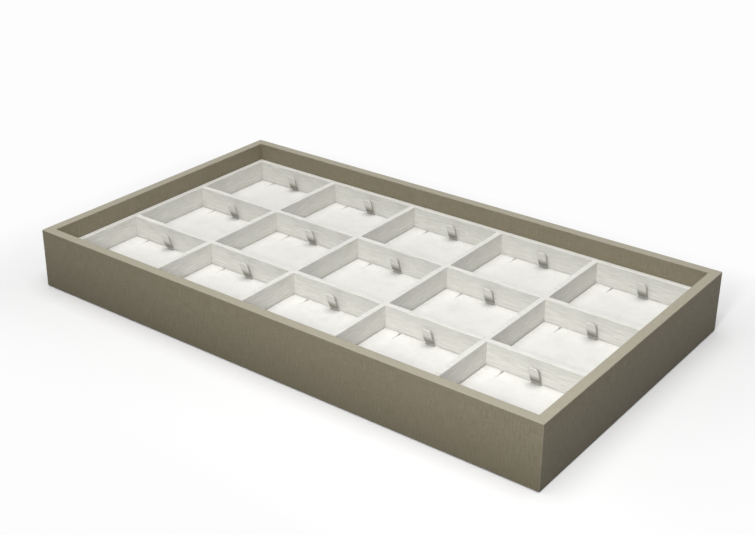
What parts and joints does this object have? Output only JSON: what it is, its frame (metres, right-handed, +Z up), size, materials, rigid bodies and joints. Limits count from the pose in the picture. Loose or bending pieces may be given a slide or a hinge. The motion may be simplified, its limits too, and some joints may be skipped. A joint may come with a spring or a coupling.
{
  "type": "pendant display tray",
  "caption": "Shallow stackable display tray: a wrapped rectangular frame round a divided insert, with lift-out pads that each carry a leaning hook tab.",
  "frame": {"origin": "on the floor, at the centre of the underside sheet", "axes": "+X along the long side, to the right as seen from the front; +Y from the front to the rear, where each compartment has its hook tab; +Z up"},
  "size_m": [0.35, 0.2, 0.038],
  "materials": {
    "frame_leatherette": "satin, fine linen grain",
    "rail_board": "raw fibreboard",
    "base_board": "raw fibreboard",
    "underside_paper": "matte flocked paper",
    "lining_paper": "matte",
    "insert_wrapped_board": "matte, wrapped in streaked linen-grain cover",
    "ledge_card": "matte",
    "pad_fabric": "matte, mottled nap",
    "tab_fabric": "matte"
  },
  "bodies": {
    "tray": {"frame_rail_front": "rail_board", "frame_rail_rear": "rail_board", "frame_rail_left": "rail_board", "frame_rail_right": "rail_board", "frame_wrap": "frame_leatherette", "base_board": "base_board", "underside_sheet": "underside_paper", "base_lining": "lining_paper", "insert_wall_front": "insert_wrapped_board", "insert_wall_rear": "insert_wrapped_board", "insert_wall_left": "insert_wrapped_board", "insert_wall_right": "insert_wrapped_board", "row_divider_1": "insert_wrapped_board", "row_divider_2": "insert_wrapped_board", "column_divider_1": "insert_wrapped_board", "column_divider_2": "insert_wrapped_board", "column_divider_3": "insert_wrapped_board", "column_divider_4": "insert_wrapped_board", "pad_ledge_front": "ledge_card", "pad_ledge_middle": "ledge_card", "pad_ledge_rear": "ledge_card"},
    "pad_unit_front_1": {"pad_front_1": "pad_fabric", "hook_tab_front_1": "tab_fabric"},
    "pad_unit_front_2": {"pad_front_2": "pad_fabric", "hook_tab_front_2": "tab_fabric"},
    "pad_unit_front_3": {"pad_front_3": "pad_fabric", "hook_tab_front_3": "tab_fabric"},
    "pad_unit_front_4": {"pad_front_4": "pad_fabric", "hook_tab_front_4": "tab_fabric"},
    "pad_unit_front_5": {"pad_front_5": "pad_fabric", "hook_tab_front_5": "tab_fabric"},
    "pad_unit_middle_1": {"pad_middle_1": "pad_fabric", "hook_tab_middle_1": "tab_fabric"},
    "pad_unit_middle_2": {"pad_middle_2": "pad_fabric", "hook_tab_middle_2": "tab_fabric"},
    "pad_unit_middle_3": {"pad_middle_3": "pad_fabric", "hook_tab_middle_3": "tab_fabric"},
    "pad_unit_middle_4": {"pad_middle_4": "pad_fabric", "hook_tab_middle_4": "tab_fabric"},
    "pad_unit_middle_5": {"pad_middle_5": "pad_fabric", "hook_tab_middle_5": "tab_fabric"},
    "pad_unit_rear_1": {"pad_rear_1": "pad_fabric", "hook_tab_rear_1": "tab_fabric"},
    "pad_unit_rear_2": {"pad_rear_2": "pad_fabric", "hook_tab_rear_2": "tab_fabric"},
    "pad_unit_rear_3": {"pad_rear_3": "pad_fabric", "hook_tab_rear_3": "tab_fabric"},
    "pad_unit_rear_4": {"pad_rear_4": "pad_fabric", "hook_tab_rear_4": "tab_fabric"},
    "pad_unit_rear_5": {"pad_rear_5": "pad_fabric", "hook_tab_rear_5": "tab_fabric"}
  },
  "joints": [
    {"name": "pad_front_1_lift", "type": "slide", "parent": "tray", "child": "pad_unit_front_1", "axis": [0, 0, 1], "range_m": [0, 0.033]},
    {"name": "pad_front_2_lift", "type": "slide", "parent": "tray", "child": "pad_unit_front_2", "axis": [0, 0, 1], "range_m": [0, 0.033]},
    {"name": "pad_front_3_lift", "type": "slide", "parent": "tray", "child": "pad_unit_front_3", "axis": [0, 0, 1], "range_m": [0, 0.033]},
    {"name": "pad_front_4_lift", "type": "slide", "parent": "tray", "child": "pad_unit_front_4", "axis": [0, 0, 1], "range_m": [0, 0.033]},
    {"name": "pad_front_5_lift", "type": "slide", "parent": "tray", "child": "pad_unit_front_5", "axis": [0, 0, 1], "range_m": [0, 0.033]},
    {"name": "pad_middle_1_lift", "type": "slide", "parent": "tray", "child": "pad_unit_middle_1", "axis": [0, 0, 1], "range_m": [0, 0.033]},
    {"name": "pad_middle_2_lift", "type": "slide", "parent": "tray", "child": "pad_unit_middle_2", "axis": [0, 0, 1], "range_m": [0, 0.033]},
    {"name": "pad_middle_3_lift", "type": "slide", "parent": "tray", "child": "pad_unit_middle_3", "axis": [0, 0, 1], "range_m": [0, 0.033]},
    {"name": "pad_middle_4_lift", "type": "slide", "parent": "tray", "child": "pad_unit_middle_4", "axis": [0, 0, 1], "range_m": [0, 0.033]},
    {"name": "pad_middle_5_lift", "type": "slide", "parent": "tray", "child": "pad_unit_middle_5", "axis": [0, 0, 1], "range_m": [0, 0.033]},
    {"name": "pad_rear_1_lift", "type": "slide", "parent": "tray", "child": "pad_unit_rear_1", "axis": [0, 0, 1], "range_m": [0, 0.033]},
    {"name": "pad_rear_2_lift", "type": "slide", "parent": "tray", "child": "pad_unit_rear_2", "axis": [0, 0, 1], "range_m": [0, 0.033]},
    {"name": "pad_rear_3_lift", "type": "slide", "parent": "tray", "child": "pad_unit_rear_3", "axis": [0, 0, 1], "range_m": [0, 0.033]},
    {"name": "pad_rear_4_lift", "type": "slide", "parent": "tray", "child": "pad_unit_rear_4", "axis": [0, 0, 1], "range_m": [0, 0.033]},
    {"name": "pad_rear_5_lift", "type": "slide", "parent": "tray", "child": "pad_unit_rear_5", "axis": [0, 0, 1], "range_m": [0, 0.033]}
  ]
}
